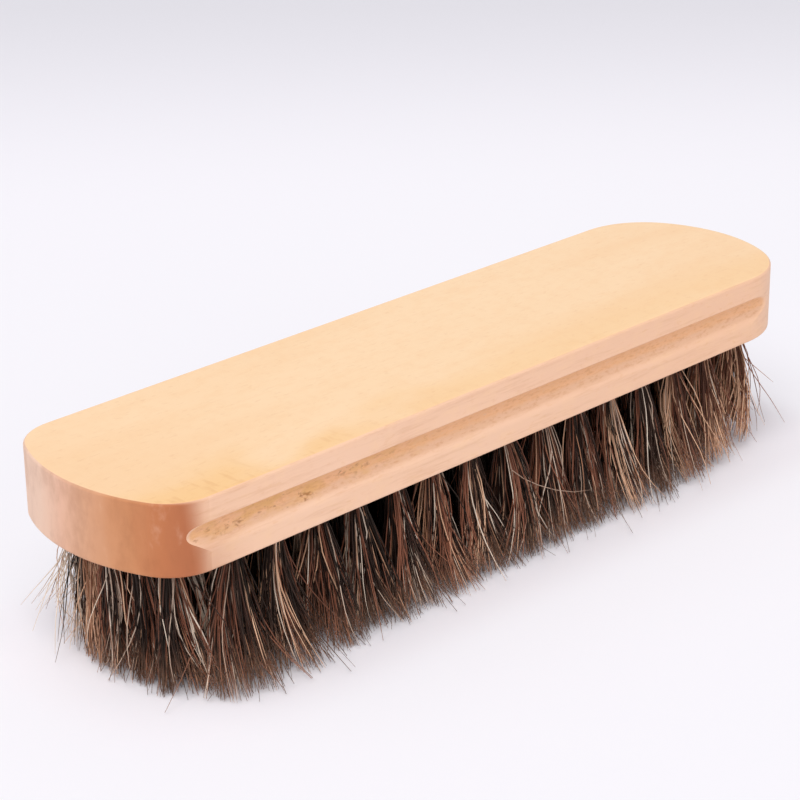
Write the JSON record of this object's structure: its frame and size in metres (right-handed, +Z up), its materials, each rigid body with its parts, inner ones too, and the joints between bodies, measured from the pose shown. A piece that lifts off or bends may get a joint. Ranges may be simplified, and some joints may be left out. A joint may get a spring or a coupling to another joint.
{
  "type": "shoe shine brush",
  "caption": "Hand-held shoe shine brush: a beech block with rounded ends and a finger groove along each long side, set underneath with flat-trimmed horsehair tufts.",
  "frame": {"origin": "under the middle of the block, on the plane of the trimmed hair tips, which the brush stands on", "axes": "+X along the block, +Y across it to the side away from the picture's camera, +Z up from the hair tips to the top of the block"},
  "size_m": [0.17, 0.0464, 0.0383],
  "materials": {
    "beech": "smooth sanded beech under a thin satin lacquer",
    "horsehair": "natural dark brown horsehair with lighter strands",
    "wire": "drawn steel wire"
  },
  "bodies": {
    "root": {"block": "beech", "tuft_row_01": "horsehair", "tuft_row_02": "horsehair", "tuft_row_03": "horsehair", "tuft_row_04": "horsehair", "tuft_row_05": "horsehair", "tuft_row_06": "horsehair", "tuft_row_07": "horsehair", "tuft_row_08": "horsehair", "tuft_row_09": "horsehair", "tuft_row_10": "horsehair", "tuft_row_11": "horsehair", "tuft_row_12": "horsehair", "tuft_row_13": "horsehair", "tuft_row_14": "horsehair", "tuft_row_15": "horsehair", "tuft_row_16": "horsehair", "tuft_row_17": "horsehair", "tuft_row_18": "horsehair", "tuft_row_19": "horsehair", "tuft_row_20": "horsehair", "tuft_row_21": "horsehair", "tuft_row_22": "horsehair", "tuft_row_23": "horsehair", "tuft_row_24": "horsehair", "tuft_row_25": "horsehair", "tuft_row_26": "horsehair", "tuft_row_27": "horsehair", "tuft_row_28": "horsehair", "tuft_row_29": "horsehair", "tuft_row_30": "horsehair", "tuft_row_31": "horsehair", "tuft_row_32": "horsehair", "tuft_row_33": "horsehair", "tuft_row_34": "horsehair", "tuft_row_35": "horsehair", "staples": "wire"}
  },
  "joints": []
}
